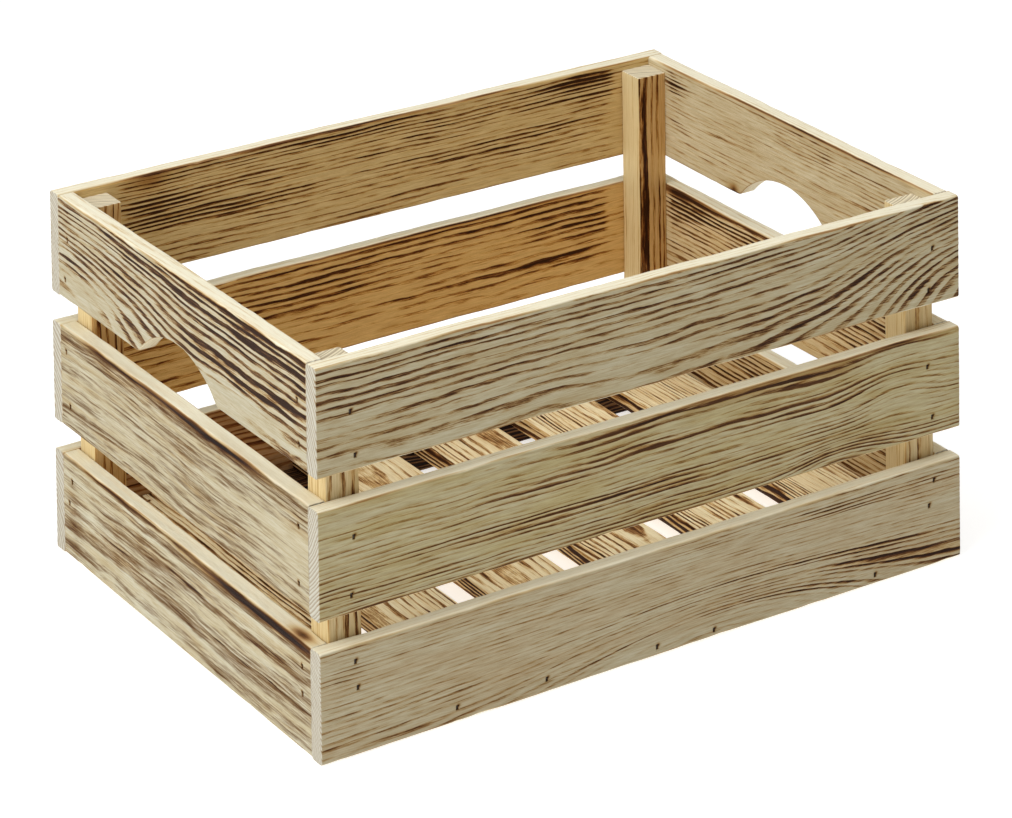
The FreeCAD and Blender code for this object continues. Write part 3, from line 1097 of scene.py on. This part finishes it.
def corner_posts():
    """The four posts. The back right one is flamed the most."""
    posts = []
    for number, (side, outward) in enumerate(SIDES):
        for hand in ("left", "right"):
            flamed = (side, hand) == ("back", "right")
            post = Board(f"corner_post_{side}_{hand}", "Z", outward, POST_RADIUS, "corner_posts")
            post.grain = Grain(pith=(-20.0, -60.0), ring=2.5, wave=0.12)
            post.scorch = FLAMED_POST if flamed else PLAIN_POST
            post.tone = POST_TONE
            post.seed = 700 + 10 * number + len(hand)
            posts.append(post)
    return posts


def floor_battens():
    """The two battens under the floor, burnt nearly black where they face into the crate."""
    battens = []
    for number, (side, _) in enumerate(SIDES):
        batten = Board(f"floor_batten_{side}", "X", "-Z", BATTEN_RADIUS, "floor_battens")
        batten.grain = Grain(pith=(-40.0, -45.0), ring=2.2)
        batten.scorch = Scorch(outer=0.3, inner=1.25, edge=1.1, shield=NO_SHIELD)
        batten.tone = BATTEN_TONE
        batten.seed = 800 + number
        battens.append(batten)
    return battens


def floor_boards():
    """The six floor boards, scorched on top by one of three amounts."""
    boards = []
    for number in range(1, 7):
        board = Board(f"floor_board_{number}", "Y", "+Z", FLOOR_BOARD_RADIUS, "floor_boards")
        board.grain = Grain(pith=(-40.0 + 22 * number, -45.0), ring=2.4, wave=0.2)
        board.scorch = Scorch(outer=0.36 + 0.14 * (number * 5 % 3 - 1), inner=0.1, edge=0.95)
        board.tone = FLOOR_TONE
        board.seed = 900 + 17 * number
        board.nails = nails_in(board, "floor_board_nails")
        boards.append(board)
    return boards


def dress_brads():
    """Gives the brads, which keep their CAD meshes, their steel."""
    steel = brad_steel()
    for name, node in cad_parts.items():
        if name.endswith("_nails"):
            node.data.materials.clear()
            node.data.materials.append(steel)


# -------------------------------------------------------------------------- stage
FLOOR_HALF = 8.0
FLOOR_DROP = 0.0005
LIGHTS = (  # name, place, size, watts, colour
    ("key", (-2.6, -0.3, 1.9), 2.6, 75.0, (0.97, 0.99, 1.0)),
    ("overhead", (0.2, -0.3, 2.8), 2.2, 37.0, (1.0, 0.99, 0.97)),
)
LIGHT_AIM = (0.0, 0.0, 0.12)
WORLD_LIGHT = 0.30
WORLD_SEEN = 0.80  # the camera sees a paler surround than the one that lights the crate

CAMERA_PLACE = (-1.459, -2.300, 1.282)
CAMERA_HEADING = 32.69  # degrees from +Y towards +X
CAMERA_PITCH = 4.15  # degrees below the horizon
CAMERA_ROLL = -0.77
CAMERA_LENS = 146.7
CAMERA_SENSOR = 36.0
CAMERA_SHIFT = -1.429


def make_floor():
    """A wide sheet of pale paper under the crate."""
    height = cad_low.z - FLOOR_DROP
    signs = ((-1, -1), (1, -1), (1, 1), (-1, 1))
    corners = [(x * FLOOR_HALF, y * FLOOR_HALF, height) for x, y in signs]
    mesh = bpy.data.meshes.new("floor")
    mesh.from_pydata(corners, [], [(0, 1, 2, 3)])
    mesh.materials.append(floor_paper())
    floor = bpy.data.objects.new("floor", mesh)
    bpy.context.scene.collection.objects.link(floor)


def make_lights():
    """A big soft key from the left, and another light from above."""
    for name, place, size, watts, colour in LIGHTS:
        light = bpy.data.lights.new(name, "AREA")
        light.size = size
        light.energy = watts
        light.color = colour
        lamp = bpy.data.objects.new(name, light)
        lamp.location = place
        aim = Vector(LIGHT_AIM) - Vector(place)
        lamp.rotation_euler = aim.to_track_quat("-Z", "Y").to_euler()
        bpy.context.scene.collection.objects.link(lamp)


def make_world():
    """An even pale surround, and colours shown as they are."""
    world = bpy.data.worlds.new("studio")
    world.use_nodes = True
    tree = world.node_tree
    background = tree.nodes["Background"]
    background.inputs["Color"].default_value = (1.0, 1.0, 1.0, 1.0)
    seen = tree.nodes.new("ShaderNodeLightPath").outputs["Is Camera Ray"]
    strength = tree.nodes.new("ShaderNodeMapRange")
    strength.inputs["To Min"].default_value = WORLD_LIGHT
    strength.inputs["To Max"].default_value = WORLD_SEEN
    tree.links.new(seen, strength.inputs["Value"])
    tree.links.new(strength.outputs["Result"], background.inputs["Strength"])
    bpy.context.scene.world = world
    bpy.context.scene.view_settings.view_transform = "Standard"


def make_camera():
    """A long lens, almost level and shifted down, which keeps the crate's uprights parallel."""
    data = bpy.data.cameras.new("camera")
    data.lens = CAMERA_LENS
    data.sensor_width = CAMERA_SENSOR
    data.clip_end = 50.0
    camera = bpy.data.objects.new("camera", data)
    camera.location = CAMERA_PLACE
    angles = (CAMERA_HEADING, CAMERA_PITCH, CAMERA_ROLL)
    heading, pitch, roll = (math.radians(angle) for angle in angles)
    turn = Matrix.Rotation(-heading, 3, "Z")
    turn = turn @ Matrix.Rotation(math.pi / 2 - pitch, 3, "X")
    turn = turn @ Matrix.Rotation(roll, 3, "Z")
    camera.rotation_mode = "XYZ"
    camera.rotation_euler = turn.to_euler("XYZ")
    bpy.context.scene.collection.objects.link(camera)
    bpy.context.scene.camera = camera
    shift_in_this_view_only(camera)


def shift_in_this_view_only(camera):
    """Ties the lens shift to the camera's rotation mode, which other views change from 1 to 0."""
    curve = camera.data.driver_add("shift_y")
    curve.driver.type = "SUM"
    mode = curve.driver.variables.new()
    mode.name = "mode"
    mode.type = "SINGLE_PROP"
    mode.targets[0].id_type = "OBJECT"
    mode.targets[0].id = camera
    mode.targets[0].data_path = "rotation_mode"
    for modifier in list(curve.modifiers):
        curve.modifiers.remove(modifier)
    scale = curve.modifiers.new("GENERATOR")
    scale.poly_order = 1
    scale.coefficients = (0.0, CAMERA_SHIFT)


# -------------------------------------------------------------------------- build
for board in wall_slats() + corner_posts() + floor_battens() + floor_boards():
    build_board(board)
dress_brads()
make_floor()
make_lights()
make_world()
make_camera()
